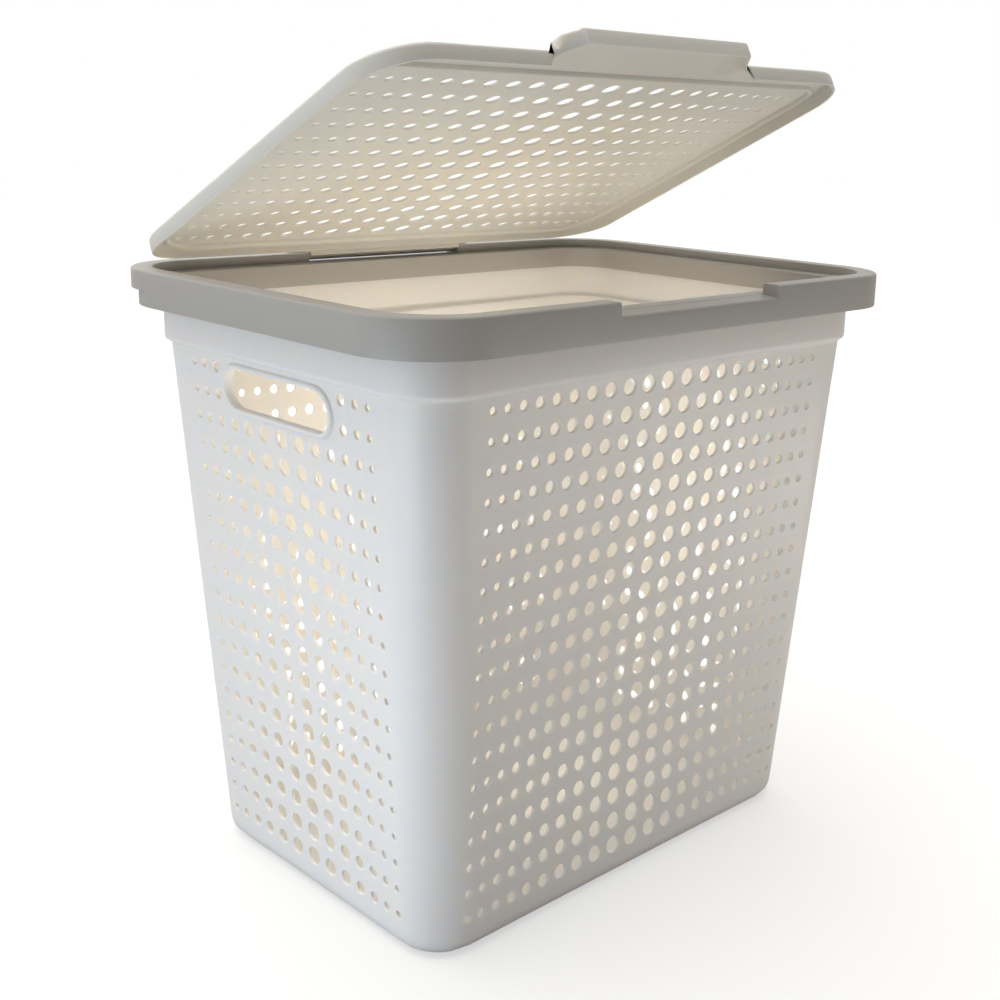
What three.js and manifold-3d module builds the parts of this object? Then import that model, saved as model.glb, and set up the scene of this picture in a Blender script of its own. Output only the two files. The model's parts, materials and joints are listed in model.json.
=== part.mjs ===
// Laundry hamper with a hinged lid: a perforated-style plastic basket, a snap-on rim frame,
// a lid that swings on a pin along the rear edge, and the pin itself.
// Millimetres, +Z up, +X along the long side, front at -Y. The origin is the middle of the base.
import * as THREE from 'three';
import { mergeVertices } from 'three/addons/utils/BufferGeometryUtils.js';
import Module from 'manifold-3d';

const wasm = await Module();
wasm.setup();

// Basket
const baseHalfX = 187.8;
const baseHalfY = 131.2;
const draftX = 0.0695; // outward lean of the short walls, mm per mm of height
const draftY = 0.052; // outward lean of the long walls
const bodyCornerRadius = 34;
const baseRounding = 12;
const wall = 2.2;
const shoulderZ = 379; // the wall steps out to the collar here
const collarHalfX = 218.5;
const collarHalfY = 154;
const collarCornerRadius = 36;
const collarTopZ = 420.4;
const bowLong = 7.3; // how far the long walls pull in at the middle
const bowLongTop = 3; // and what is left of that at the shoulder
const bowShort = 5.2;

// Hand slots in the short walls
const slotHalfLength = 58;
const slotHalfHeight = 13.6;
const slotZ = 357;
const slotLip = 3.2; // width of the raised ring round the slot
const slotProud = 2.4; // how far the ring stands off the wall

// Rim frame
const rimHalfX = 239.5;
const rimHalfY = 175;
const rimCornerRadius = 57;
const rimBottomZ = 405.5;
const rimTopZ = 430;
const rimLedgeZ = 423; // the lid rests here
const landWidth = 14.5;
const ledgeInset = 25.8;
const rimWall = 2.2;
const rearSetback = 10; // the rear skirt stands this far inside the rear flange
const flangeBottomZ = 416.5;
const notchHalfWidth = 79.5;
const notchFloorZ = 421;

// Lid
const lidClearance = 0.8; // to the rim's upper inner wall
const lidBottomZ = 423.5;
const lidTopZ = 435;
const lidWall = 2;
const gripHalfWidth = 94;
const gripTopHalfWidth = 80;
const gripReach = 16.5; // past the lid's front edge
const gripBottomZ = 431;
const gripTopZ = 443;
const gripRamp = 22; // length of the slope up to the grip
const beadInset = 10; // underside bead, in from the lid's edge
const beadFrontShift = 13; // and further in along the front
const beadWidth = 5;
const beadDepth = 2;

// Hinge
const hingeY = 168.6;
const hingeZ = 428;
const barrelRadius = 4.2;
const barrelHalfLength = 75;
const pinRadius = 1.9;
const pinHalfLength = 86;
const pinGap = 0.3;
const lidOpenDeg = 26; // how far open the lid stands

const arcSteps = 7;

// A rounded rectangle as a ring of points, counter-clockwise, with evenly divided straight sides.
// bowX and bowY pull the middle of the short and long sides inwards.
function roundedRing(halfX, halfY, radius, sideSteps = 1, bowX = 0, bowY = 0) {
  const corners = [[1, -1, -90], [1, 1, 0], [-1, 1, 90], [-1, -1, 180]];
  const arcs = corners.map(([sx, sy, startDeg]) => {
    const points = [];
    for (let i = 0; i <= arcSteps; i++) {
      const angle = THREE.MathUtils.degToRad(startDeg + (90 * i) / arcSteps);
      points.push(new THREE.Vector2(
        sx * (halfX - radius) + radius * Math.cos(angle),
        sy * (halfY - radius) + radius * Math.sin(angle),
      ));
    }
    return points;
  });
  const ring = [];
  arcs.forEach((arc, k) => {
    ring.push(...arc);
    const from = arc[arc.length - 1];
    const to = arcs[(k + 1) % 4][0];
    const onShortSide = k % 2 === 0;
    for (let i = 1; i < sideSteps; i++) {
      const point = from.clone().lerp(to, i / sideSteps);
      const across = (2 * i) / sideSteps - 1;
      const pull = 1 - across * across;
      if (onShortSide) point.x -= Math.sign(point.x) * bowX * pull;
      else point.y -= Math.sign(point.y) * bowY * pull;
      ring.push(point);
    }
  });
  return ring;
}

// A closed body through a list of { ring, z } levels. A looped list closes on itself like a
// tyre; otherwise the first and last rings are capped. The levels run up the outside.
function loft(levels, looped) {
  const count = levels[0].ring.length;
  const positions = [];
  for (const { ring, z } of levels) {
    for (const point of ring) positions.push(point.x, point.y, z);
  }
  const index = [];
  const last = looped ? levels.length : levels.length - 1;
  for (let k = 0; k < last; k++) {
    const low = k * count;
    const high = ((k + 1) % levels.length) * count;
    for (let i = 0; i < count; i++) {
      const j = (i + 1) % count;
      index.push(low + i, low + j, high + j);
      index.push(low + i, high + j, high + i);
    }
  }
  if (!looped) {
    const top = (levels.length - 1) * count;
    for (let i = 1; i < count - 1; i++) {
      index.push(0, i + 1, i);
      index.push(top, top + i, top + i + 1);
    }
  }
  const geometry = new THREE.BufferGeometry();
  geometry.setAttribute('position', new THREE.Float32BufferAttribute(positions, 3));
  geometry.setIndex(index);
  return geometry;
}

// Solids for joining and cutting.
function toSolid(geometry) {
  const plain = geometry.clone();
  plain.deleteAttribute('normal');
  plain.deleteAttribute('uv');
  const merged = mergeVertices(plain, 1e-4);
  return new wasm.Manifold(new wasm.Mesh({
    numProp: 3,
    vertProperties: new Float32Array(merged.attributes.position.array),
    triVerts: new Uint32Array(merged.index.array),
  }));
}

function toGeometry(solid) {
  const mesh = solid.getMesh();
  const geometry = new THREE.BufferGeometry();
  geometry.setAttribute('position', new THREE.Float32BufferAttribute(mesh.vertProperties, 3));
  geometry.setIndex(new THREE.Uint32BufferAttribute(mesh.triVerts, 1));
  return geometry;
}

function box(x0, x1, y0, y1, z0, z1) {
  const geometry = new THREE.BoxGeometry(x1 - x0, y1 - y0, z1 - z0);
  geometry.translate((x0 + x1) / 2, (y0 + y1) / 2, (z0 + z1) / 2);
  return toSolid(geometry);
}

// An outline in the YZ plane carried along X between two stations.
function prismAlongX(outline, x0, x1) {
  const shape = new THREE.Shape(outline.map(([y, z]) => new THREE.Vector2(y, z)));
  const geometry = new THREE.ExtrudeGeometry(shape, { depth: x1 - x0, bevelEnabled: false });
  geometry.applyMatrix4(new THREE.Matrix4().set(0, 0, 1, x0, 1, 0, 0, 0, 0, 1, 0, 0, 0, 0, 0, 1));
  return toSolid(geometry);
}

// An outline in the XZ plane carried along Y between two stations.
function prismAlongY(outline, y0, y1) {
  const shape = new THREE.Shape(outline.map(([x, z]) => new THREE.Vector2(x, z)));
  const geometry = new THREE.ExtrudeGeometry(shape, { depth: y1 - y0, bevelEnabled: false });
  geometry.applyMatrix4(new THREE.Matrix4().set(1, 0, 0, 0, 0, 0, -1, y1, 0, 1, 0, 0, 0, 0, 0, 1));
  return toSolid(geometry);
}

function rodAlongX(radius, x0, x1, y, z, sides) {
  const geometry = new THREE.CylinderGeometry(radius, radius, x1 - x0, sides);
  geometry.rotateZ(Math.PI / 2);
  geometry.translate((x0 + x1) / 2, y, z);
  return toSolid(geometry);
}

// Basket body: the draft is straight, and the walls bow in most a little below half height.
function bodyRing(z, inset) {
  const rise = THREE.MathUtils.clamp(z / shoulderZ, 0, 1);
  const bow = Math.sin(Math.PI * Math.pow(rise, 0.85));
  return roundedRing(
    baseHalfX + draftX * z - inset,
    baseHalfY + draftY * z - inset,
    bodyCornerRadius - inset,
    8,
    bowShort * bow,
    bowLong * bow + bowLongTop * rise,
  );
}

function basketGeometry() {
  const levels = [];
  const roundSteps = 3;
  for (let i = 0; i <= roundSteps; i++) {
    const angle = (Math.PI / 2) * (i / roundSteps);
    const z = baseRounding * (1 - Math.cos(angle));
    levels.push({ ring: bodyRing(z, baseRounding * (1 - Math.sin(angle))), z });
  }
  const wallHeights = [80, 150, 220, 290, 340, shoulderZ - 2];
  for (const z of wallHeights) levels.push({ ring: bodyRing(z, 0), z });
  const collar = (inset) => roundedRing(
    collarHalfX - inset,
    collarHalfY - inset,
    collarCornerRadius - inset,
    8,
  );
  levels.push({ ring: collar(0.6), z: shoulderZ + 2 });
  levels.push({ ring: collar(0), z: collarTopZ });
  levels.push({ ring: collar(wall), z: collarTopZ });
  levels.push({ ring: collar(wall + 0.6), z: shoulderZ + 2.5 });
  for (const z of [...wallHeights].reverse()) levels.push({ ring: bodyRing(z, wall), z });
  for (let i = roundSteps; i >= 0; i--) {
    const angle = (Math.PI / 2) * (i / roundSteps);
    const drop = (baseRounding - wall) * Math.cos(angle);
    const inset = wall + (baseRounding - wall) * (1 - Math.sin(angle));
    levels.push({ ring: bodyRing(baseRounding - drop, inset), z: baseRounding - drop });
  }
  let solid = toSolid(loft(levels, false));

  const stadium = (halfLength, halfHeight) => {
    const shape = new THREE.Shape();
    const centre = halfLength - halfHeight;
    shape.absarc(centre, 0, halfHeight, -Math.PI / 2, Math.PI / 2, false);
    shape.absarc(-centre, 0, halfHeight, Math.PI / 2, (3 * Math.PI) / 2, false);
    return shape;
  };
  const wallX = baseHalfX + draftX * slotZ;
  for (const side of [-1, 1]) {
    const place = (shape, depth, start) => {
      const geometry = new THREE.ExtrudeGeometry(shape, { depth, bevelEnabled: false, curveSegments: 6 });
      geometry.translate(0, 0, start);
      geometry.rotateX(Math.PI / 2);
      geometry.rotateZ(Math.PI / 2);
      geometry.rotateY(Math.atan(draftX));
      if (side < 0) geometry.rotateZ(Math.PI);
      geometry.translate(side * wallX, 0, slotZ);
      return toSolid(geometry);
    };
    const ring = place(
      stadium(slotHalfLength + slotLip, slotHalfHeight + slotLip),
      slotProud + wall + 1,
      -wall - 1,
    );
    const hole = place(stadium(slotHalfLength, slotHalfHeight), 40, -20);
    solid = solid.add(ring).subtract(hole);
  }
  return toGeometry(solid);
}

// Rim frame: an inverted channel that covers the collar, with a ledge inside for the lid.
function rimRing(inset, rearShift = 0) {
  const ring = roundedRing(
    rimHalfX - inset,
    rimHalfY - inset,
    rimCornerRadius - inset,
  );
  for (const point of ring) {
    if (point.y > 0) point.y -= rearShift;
  }
  return ring;
}

function rimGeometry() {
  const upper = [
    [0, flangeBottomZ], [0, rimTopZ - 2.6], [0.8, rimTopZ - 0.8], [2.6, rimTopZ],
    [landWidth - 1, rimTopZ], [landWidth, rimTopZ - 1],
    [landWidth, rimLedgeZ], [ledgeInset - 0.6, rimLedgeZ], [ledgeInset, rimLedgeZ - 0.6],
    [ledgeInset, rimBottomZ + 1], [ledgeInset - 2, rimBottomZ + 1],
    [ledgeInset - 2, rimLedgeZ - rimWall], [landWidth - rimWall, rimLedgeZ - rimWall],
    [landWidth - rimWall, rimTopZ - rimWall], [rimWall, rimTopZ - rimWall],
    [rimWall, flangeBottomZ],
  ].map(([inset, z]) => ({ ring: rimRing(inset), z }));
  let solid = toSolid(loft(upper, true));

  const skirt = [
    [0, rimBottomZ], [0, flangeBottomZ + rimWall],
    [rimWall, flangeBottomZ + rimWall], [rimWall, rimBottomZ],
  ].map(([inset, z]) => ({ ring: rimRing(inset, rearSetback), z }));
  solid = solid.add(toSolid(loft(skirt, true)));

  // Underside of the rear flange, joining it to the set-back skirt.
  const shelfY0 = rimHalfY - rearSetback - rimWall;
  const shelfHalfX = rimHalfX - rimCornerRadius;
  solid = solid.add(box(
    -shelfHalfX, shelfHalfX, shelfY0, rimHalfY - rimWall / 2,
    flangeBottomZ, flangeBottomZ + rimWall,
  ));

  // Front notch: the land is cut away and a floor and two end walls close the channel.
  const front = -rimHalfY;
  const back = front + ledgeInset;
  solid = solid.subtract(box(
    -notchHalfWidth, notchHalfWidth, front - 1, back - 1, notchFloorZ - rimWall, rimTopZ + 1,
  ));
  solid = solid.add(prismAlongX([
    [front, rimBottomZ + 4], [front + rimWall, rimBottomZ + 4],
    [front + rimWall, notchFloorZ - rimWall], [back - 2, rimLedgeZ - rimWall],
    [back, rimLedgeZ - rimWall], [back, rimLedgeZ], [front + 1.2, notchFloorZ], [front, notchFloorZ - 1],
  ], -notchHalfWidth - 0.5, notchHalfWidth + 0.5));
  const endWall = [
    [front + 0.4, notchFloorZ - 3], [front + landWidth - 0.4, notchFloorZ - 1],
    [front + landWidth - 0.4, rimTopZ - 0.8], [front + 2.6, rimTopZ - 0.4], [front + 0.8, rimTopZ - 1.2],
  ];
  for (const side of [-1, 1]) {
    const near = side * notchHalfWidth;
    const far = side * (notchHalfWidth + rimWall);
    solid = solid.add(prismAlongX(endWall, Math.min(near, far), Math.max(near, far)));
  }

  // Rear hinge bay: the land is cut away between two lugs, over a flat floor at ledge height.
  const bayHalf = barrelHalfLength + pinGap;
  const rearBack = rimHalfY;
  const rearFront = rimHalfY - ledgeInset;
  solid = solid.subtract(box(
    -bayHalf, bayHalf, rearFront + 1, rearBack + 1, rimLedgeZ - rimWall, rimTopZ + 1,
  ));
  solid = solid.add(box(
    -bayHalf - 0.5, bayHalf + 0.5, rearFront, rearBack, rimLedgeZ - rimWall, rimLedgeZ,
  ));
  const lugReach = pinHalfLength + 3 - bayHalf;
  for (const side of [-1, 1]) {
    const near = side * bayHalf;
    const far = side * (bayHalf + lugReach);
    const x0 = Math.min(near, far);
    const x1 = Math.max(near, far);
    solid = solid.add(box(
      x0, x1, rimHalfY - landWidth + 0.5, rimHalfY - 0.5, rimLedgeZ - rimWall, rimTopZ - 0.5,
    ));
    solid = solid.add(rodAlongX(barrelRadius + 0.6, x0, x1, hingeY, hingeZ, 20));
    const bore = [Math.min(near, side * (pinHalfLength + pinGap)) - (side > 0 ? 1 : 0)];
    bore.push(Math.max(near, side * (pinHalfLength + pinGap)) + (side < 0 ? 1 : 0));
    solid = solid.subtract(rodAlongX(pinRadius + pinGap, bore[0], bore[1], hingeY, hingeZ, 16));
  }
  return toGeometry(solid);
}

// Lid, drawn closed; its group turns it about the pin.
function lidRing(inset) {
  return roundedRing(
    rimHalfX - landWidth - lidClearance - inset,
    rimHalfY - landWidth - lidClearance - inset,
    rimCornerRadius - landWidth - lidClearance - inset,
  );
}

function lidGeometry() {
  const stack = (levels) => levels.map(([inset, z]) => ({ ring: lidRing(inset), z }));
  const outer = stack([[0, lidBottomZ], [0, lidTopZ - 3], [0.9, lidTopZ - 0.9], [3, lidTopZ]]);
  const cavity = stack([
    [lidWall, lidBottomZ - 1], [lidWall, lidTopZ - 3.4], [3.4, lidTopZ - lidWall],
  ]);
  let solid = toSolid(loft(outer, false)).subtract(toSolid(loft(cavity, false)));

  // Low bead on the underside, round the middle field.
  const beadTop = lidTopZ - lidWall + 0.5;
  const beadBottom = lidTopZ - lidWall - beadDepth;
  const bead = stack([
    [beadInset, beadTop], [beadInset + 1, beadBottom],
    [beadInset + beadWidth - 1, beadBottom], [beadInset + beadWidth, beadTop],
  ]).reverse();
  for (const { ring } of bead) {
    for (const point of ring) {
      if (point.y < 0) point.y += beadFrontShift;
    }
  }
  solid = solid.add(toSolid(loft(bead, true)));

  // Grip: a raised lip, hollow underneath, over the notch in the rim.
  const frontY = -(rimHalfY - landWidth - lidClearance);
  const lipY = frontY - gripReach;
  const rampY = frontY + gripRamp;
  const crownY = frontY - gripReach + 3;
  const gripOutline = (inset, bottomZ) => [
    [-gripHalfWidth + inset, bottomZ], [gripHalfWidth - inset, bottomZ],
    [gripHalfWidth - inset, lidTopZ - 1], [gripTopHalfWidth - inset, gripTopZ - inset],
    [-gripTopHalfWidth + inset, gripTopZ - inset], [-gripHalfWidth + inset, lidTopZ - 1],
  ];
  const profile = (inset, bottomZ) => [
    [lipY + inset, bottomZ], [rampY - inset * 0.6, bottomZ], [rampY - inset * 0.6, lidTopZ - inset],
    [frontY - 1, gripTopZ - inset], [crownY + inset * 0.5, gripTopZ - inset],
    [lipY + inset, gripTopZ - 2.4 - inset * 0.4],
  ];
  const reach = gripHalfWidth + 1;
  const block = prismAlongY(gripOutline(0, gripBottomZ), lipY - 1, rampY + 6)
    .intersect(prismAlongX(profile(0, gripBottomZ), -reach, reach));
  const hollow = prismAlongY(gripOutline(lidWall, lidBottomZ - 1), lipY - 1, rampY + 6)
    .intersect(prismAlongX(profile(lidWall, lidBottomZ - 1), -reach, reach));
  const cutHalf = gripTopHalfWidth - 1;
  const mouth = prismAlongY([
    [-cutHalf, lidBottomZ - 1], [cutHalf, lidBottomZ - 1],
    [gripHalfWidth - lidWall - 1, gripBottomZ + 1], [-gripHalfWidth + lidWall + 1, gripBottomZ + 1],
  ], frontY - 1, frontY + lidWall + 1);
  solid = solid.add(block).subtract(hollow).subtract(mouth);

  // Hinge tongue and barrel, with a bore for the pin.
  const rearY = -frontY;
  solid = solid.add(box(
    -barrelHalfLength, barrelHalfLength, rearY - lidWall, hingeY, hingeZ - 1, hingeZ + 1.2,
  ));
  solid = solid.add(rodAlongX(barrelRadius, -barrelHalfLength, barrelHalfLength, hingeY, hingeZ, 20));
  solid = solid.subtract(rodAlongX(
    pinRadius + pinGap, -barrelHalfLength - 1, barrelHalfLength + 1, hingeY, hingeZ, 16,
  ));
  return toGeometry(solid);
}

function pinGeometry() {
  return toGeometry(rodAlongX(pinRadius, -pinHalfLength, pinHalfLength, hingeY, hingeZ, 16));
}

const whitePlastic = { color: 0xe9e7e2, roughness: 0.42, metalness: 0 };
const greyPlastic = { color: 0x9c9790, roughness: 0.45, metalness: 0 };
const lidPlastic = { color: 0xdad6c8, roughness: 0.4, metalness: 0 };

function named(name, geometry, look) {
  geometry.computeVertexNormals();
  const mesh = new THREE.Mesh(geometry, new THREE.MeshStandardMaterial(look));
  mesh.name = name;
  return mesh;
}

const hamper = new THREE.Group();
hamper.add(named('basket_body', basketGeometry(), whitePlastic));
hamper.add(named('rim_frame', rimGeometry(), greyPlastic));
hamper.add(named('hinge_pin', pinGeometry(), whitePlastic));

const lidSwing = new THREE.Group();
lidSwing.position.set(0, hingeY, hingeZ);
lidSwing.rotation.x = -THREE.MathUtils.degToRad(lidOpenDeg);
const lid = named('lid', lidGeometry().translate(0, -hingeY, -hingeZ), lidPlastic);
lidSwing.add(lid);
hamper.add(lidSwing);

export default hamper;
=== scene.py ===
import json
import math
import bpy
import numpy as np
from mathutils import Matrix, Vector


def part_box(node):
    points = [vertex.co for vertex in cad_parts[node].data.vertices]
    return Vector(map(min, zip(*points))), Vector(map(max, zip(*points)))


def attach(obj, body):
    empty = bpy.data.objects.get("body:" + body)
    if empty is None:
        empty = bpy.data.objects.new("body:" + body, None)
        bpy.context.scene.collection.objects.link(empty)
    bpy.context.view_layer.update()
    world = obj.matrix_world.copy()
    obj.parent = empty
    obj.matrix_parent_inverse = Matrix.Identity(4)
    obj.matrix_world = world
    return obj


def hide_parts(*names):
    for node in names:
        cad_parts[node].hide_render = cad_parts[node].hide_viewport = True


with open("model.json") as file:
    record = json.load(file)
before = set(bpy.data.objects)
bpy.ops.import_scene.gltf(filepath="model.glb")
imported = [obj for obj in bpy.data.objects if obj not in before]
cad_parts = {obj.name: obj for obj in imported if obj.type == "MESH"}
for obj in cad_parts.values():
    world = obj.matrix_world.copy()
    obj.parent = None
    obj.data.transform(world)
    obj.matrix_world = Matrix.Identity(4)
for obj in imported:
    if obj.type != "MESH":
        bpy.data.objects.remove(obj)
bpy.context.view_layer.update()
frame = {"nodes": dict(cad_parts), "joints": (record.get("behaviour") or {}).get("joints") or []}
print("frame loaded:", sorted(frame["nodes"]))

mm = 0.001  # pieces are worked out in millimetres
hinge = frame["joints"][0]
hingeY, hingeZ = hinge["pos_m"][1] / mm, hinge["pos_m"][2] / mm
restOpenDeg = -hinge["range_deg"][0]  # the lid stands this far open at rest


def makePiece(name, points, faces, material, body, sharpDeg=32):
    # points in mm; faces as lists of indices, counter-clockwise seen from outside
    mesh = bpy.data.meshes.new(name)
    mesh.from_pydata((points * mm).tolist(), [], faces)
    mesh.update()
    mesh.polygons.foreach_set("use_smooth", np.ones(len(mesh.polygons), bool))
    mesh.set_sharp_from_angle(angle=math.radians(sharpDeg))
    mesh.materials.append(material)
    piece = bpy.data.objects.new(name, mesh)
    bpy.context.scene.collection.objects.link(piece)
    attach(piece, body)
    print(f"{name}: {len(mesh.polygons)} faces, {len(mesh.vertices)} points")
    return piece


class Shell:
    # collects points and faces of one moulding
    def __init__(self):
        self.points, self.faces, self.count = [], [], 0

    def add(self, points):
        # returns the new points' indices in the shape they came in
        flat = points.reshape(-1, 3)
        ids = np.arange(self.count, self.count + len(flat)).reshape(points.shape[:-1])
        self.points.append(flat)
        self.count += len(flat)
        return ids

    def band(self, first, second):
        # quads between two closed rows of indices that run the same way; second lies further on
        first = np.concatenate([first, first[..., :1]], -1)
        second = np.concatenate([second, second[..., :1]], -1)
        quads = np.stack([first[..., :-1], first[..., 1:], second[..., 1:], second[..., :-1]], -1)
        self.faces += quads.reshape(-1, 4).tolist()

    def array(self):
        return np.concatenate(self.points)


def turned(points, degrees):
    # closed position to open: y and z turn about the hinge line
    a = math.radians(degrees)
    y, z = points[..., 1] - hingeY, points[..., 2] - hingeZ
    return np.stack([
        points[..., 0],
        hingeY + y * math.cos(a) + z * math.sin(a),
        hingeZ - y * math.sin(a) + z * math.cos(a),
    ], -1)


def filleted(corners, steps):
    # corners are (across, up, radius); each is swapped for an arc of steps + 1 points,
    # a quadratic curve pulled towards the corner
    corners = np.array(corners, float)
    here, radius = corners[:, :2], corners[:, 2:]
    before, after = np.roll(here, 1, 0), np.roll(here, -1, 0)
    lengthIn = np.linalg.norm(before - here, axis=1, keepdims=True)
    lengthOut = np.linalg.norm(after - here, axis=1, keepdims=True)
    inward, onward = (before - here) / lengthIn, (after - here) / lengthOut
    radius = np.minimum(radius, 0.45 * np.minimum(lengthIn, lengthOut))  # neighbours never overlap
    t = np.linspace(0, 1, steps + 1)[None, :, None]
    start, end = (here + inward * radius)[:, None], (here + onward * radius)[:, None]
    middle = here[:, None]
    return ((1 - t) ** 2 * start + 2 * t * (1 - t) * middle + t ** 2 * end).reshape(-1, 2)


perCell = 4  # lattice steps across and up one cell, so sixteen points round its hole
ringAngles = np.radians(225 + 90 / perCell * np.arange(4 * perCell))  # from the lower left corner


def boxRound(wide, tall):
    # steps round a box of lattice points, counter-clockwise from its lower left: across and up
    right, left = np.arange(wide), np.arange(wide, 0, -1)
    rising, falling = np.arange(tall), np.arange(tall, 0, -1)
    across = np.concatenate([right, np.full(tall, wide), left, np.zeros(tall, int)])
    up = np.concatenate([np.zeros(wide, int), rising, np.full(wide, tall), falling])
    return across, up


def cellRim(columns, rows):
    # the lattice points round each cell: its place times perCell, plus a box of perCell
    across, up = boxRound(perCell, perCell)
    return perCell * rows[:, None] + up, perCell * columns[:, None] + across


def quarters(edges):
    # each gap between neighbouring edges cut in perCell equal parts
    places = np.arange(perCell * (len(edges) - 1) + 1) / perCell
    return np.interp(places, np.arange(len(edges)), edges)


def mirrored(half):
    # half starts at 0; its other values are repeated with a minus sign in front of it
    return np.concatenate([-half[:0:-1], half])


def between(centres):
    # edges half way between centres, and half a gap beyond the last ones
    gaps = np.diff(centres)
    return np.concatenate([
        [centres[0] - gaps[0] / 2], centres[:-1] + gaps / 2, [centres[-1] + gaps[-1] / 2],
    ])


def nodeGroup(name, inputs, outputs):
    group = bpy.data.node_groups.new(name, "ShaderNodeTree")
    for label, value in inputs.items():
        socket = group.interface.new_socket(label, in_out="INPUT", socket_type="NodeSocketFloat")
        socket.default_value = value
    for label in outputs:
        group.interface.new_socket(label, in_out="OUTPUT", socket_type="NodeSocketFloat")
    return group, group.nodes.new("NodeGroupInput"), group.nodes.new("NodeGroupOutput")


def maths(tree, operation, first, second):
    node = tree.nodes.new("ShaderNodeMath")
    node.operation = operation
    for socket, value in zip(node.inputs, (first, second)):
        if isinstance(value, (int, float)):
            socket.default_value = value
        else:
            tree.links.new(value, socket)
    return node.outputs[0]


def noise(tree, where, scale, detail, roughness=0.5):
    node = tree.nodes.new("ShaderNodeTexNoise")
    node.inputs["Detail"].default_value = detail
    node.inputs["Roughness"].default_value = roughness
    if isinstance(scale, (int, float)):
        node.inputs["Scale"].default_value = scale
    else:
        tree.links.new(scale, node.inputs["Scale"])
    tree.links.new(where, node.inputs["Vector"])
    return node.outputs["Fac"]


def buildMouldGroup():
    # height: fine spark-eroded grain, over slow sink marks of the mould
    # cloud: slow blotches for colour; speck: quick ones for roughness
    group, given, out = nodeGroup(
        "mouldedSkin",
        {"Grain Scale": 900, "Grain": 0.4, "Sink": 1.0},
        ["Height", "Cloud", "Speck"],
    )
    where = group.nodes.new("ShaderNodeTexCoord").outputs["Object"]
    grain = noise(group, where, given.outputs["Grain Scale"], 4, 0.6)
    sink = noise(group, where, 14, 2)
    ripple = noise(group, where, 60, 2)
    fine = maths(group, "MULTIPLY", grain, given.outputs["Grain"])
    waves = maths(group, "ADD", sink, maths(group, "MULTIPLY", ripple, 0.25))
    slow = maths(group, "MULTIPLY", waves, given.outputs["Sink"])
    group.links.new(maths(group, "ADD", fine, slow), out.inputs["Height"])
    group.links.new(noise(group, where, 7, 5, 0.6), out.inputs["Cloud"])
    group.links.new(noise(group, where, 130, 3), out.inputs["Speck"])
    return group


def buildWearGroup():
    # mask: edges that hands rub, broken up by noise; scuff: thin scratches
    group, given, out = nodeGroup("rubbedEdges", {"Reach": 0.52, "Amount": 1.0}, ["Mask", "Scuff"])
    geometry = group.nodes.new("ShaderNodeNewGeometry")
    where = group.nodes.new("ShaderNodeTexCoord").outputs["Object"]
    edge = group.nodes.new("ShaderNodeMapRange")
    group.links.new(geometry.outputs["Pointiness"], edge.inputs["Value"])
    group.links.new(given.outputs["Reach"], edge.inputs["From Min"])
    edge.inputs["From Max"].default_value = 0.62
    patches = noise(group, where, 55, 4, 0.65)
    broken = maths(group, "MULTIPLY", edge.outputs[0], patches)
    mask = maths(group, "MULTIPLY", broken, given.outputs["Amount"])
    group.links.new(mask, out.inputs["Mask"])
    stretch = group.nodes.new("ShaderNodeMapping")
    stretch.inputs["Scale"].default_value = (30, 260, 900)
    stretch.inputs["Rotation"].default_value = (0.3, 0.2, 0.5)
    group.links.new(where, stretch.inputs["Vector"])
    lines = noise(group, stretch.outputs[0], 1.0, 2)
    scuff = group.nodes.new("ShaderNodeMapRange")
    group.links.new(lines, scuff.inputs["Value"])
    scuff.inputs["From Min"].default_value = 0.66
    scuff.inputs["From Max"].default_value = 0.78
    group.links.new(scuff.outputs[0], out.inputs["Scuff"])
    return group


mouldGroup = buildMouldGroup()
wearGroup = buildWearGroup()


def plastic(name, look):
    material = bpy.data.materials.new(name)
    material.use_nodes = True
    tree = material.node_tree
    shader = tree.nodes["Principled BSDF"]
    skin = tree.nodes.new("ShaderNodeGroup")
    skin.node_tree = mouldGroup
    skin.inputs["Grain Scale"].default_value = look["grainScale"]
    skin.inputs["Grain"].default_value = look["grain"]
    skin.inputs["Sink"].default_value = look["sink"]
    wear = tree.nodes.new("ShaderNodeGroup")
    wear.node_tree = wearGroup
    wear.inputs["Amount"].default_value = look["wear"]

    blotch = tree.nodes.new("ShaderNodeMix")
    blotch.data_type = "RGBA"
    blotch.inputs["A"].default_value = (*look["colour"], 1)
    blotch.inputs["B"].default_value = (*look["blotch"], 1)
    tree.links.new(skin.outputs["Cloud"], blotch.inputs["Factor"])
    rubbed = tree.nodes.new("ShaderNodeMix")
    rubbed.data_type = "RGBA"
    rubbed.inputs["B"].default_value = (*look["rubbed"], 1)
    tree.links.new(wear.outputs["Mask"], rubbed.inputs["Factor"])
    tree.links.new(blotch.outputs["Result"], rubbed.inputs["A"])
    tree.links.new(rubbed.outputs["Result"], shader.inputs["Base Color"])

    dull = tree.nodes.new("ShaderNodeMapRange")
    dull.inputs["To Min"].default_value = look["roughness"] - 0.07
    dull.inputs["To Max"].default_value = look["roughness"] + 0.07
    tree.links.new(skin.outputs["Speck"], dull.inputs["Value"])
    scuffed = maths(tree, "MULTIPLY", wear.outputs["Scuff"], 0.12)
    tree.links.new(maths(tree, "ADD", dull.outputs[0], scuffed), shader.inputs["Roughness"])

    bump = tree.nodes.new("ShaderNodeBump")
    bump.inputs["Strength"].default_value = look["bump"]
    bump.inputs["Distance"].default_value = 0.0004
    tree.links.new(skin.outputs["Height"], bump.inputs["Height"])
    tree.links.new(bump.outputs["Normal"], shader.inputs["Normal"])

    shader.inputs["Subsurface Weight"].default_value = look["glow"]
    shader.inputs["Subsurface Radius"].default_value = (1, 0.85, 0.6)
    shader.inputs["Subsurface Scale"].default_value = look["glowDepth"]
    shader.inputs["IOR"].default_value = 1.49
    shader.inputs["Specular IOR Level"].default_value = look["shine"]
    return material


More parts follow.
